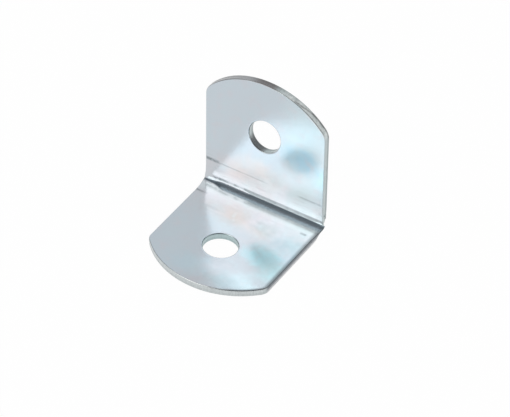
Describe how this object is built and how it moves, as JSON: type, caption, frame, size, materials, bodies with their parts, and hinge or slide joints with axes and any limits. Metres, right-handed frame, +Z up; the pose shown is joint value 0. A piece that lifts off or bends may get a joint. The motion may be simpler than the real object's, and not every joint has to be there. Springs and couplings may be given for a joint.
{
  "type": "angle bracket",
  "caption": "Small folded sheet-steel angle bracket with arched leg ends and one screw hole through each leg.",
  "frame": {"origin": "middle of the bounding box in plan, on the plane of the base leg's underside", "axes": "+X along the fold, +Y towards the upright leg's outer face, +Z up along the upright leg"},
  "size_m": [0.022, 0.0226, 0.0255],
  "materials": {
    "zinc_plate": "bright zinc plate on pressed sheet, faintly blue, with soft blotches"
  },
  "bodies": {
    "root": {"angle_bracket": "zinc_plate"}
  },
  "joints": []
}
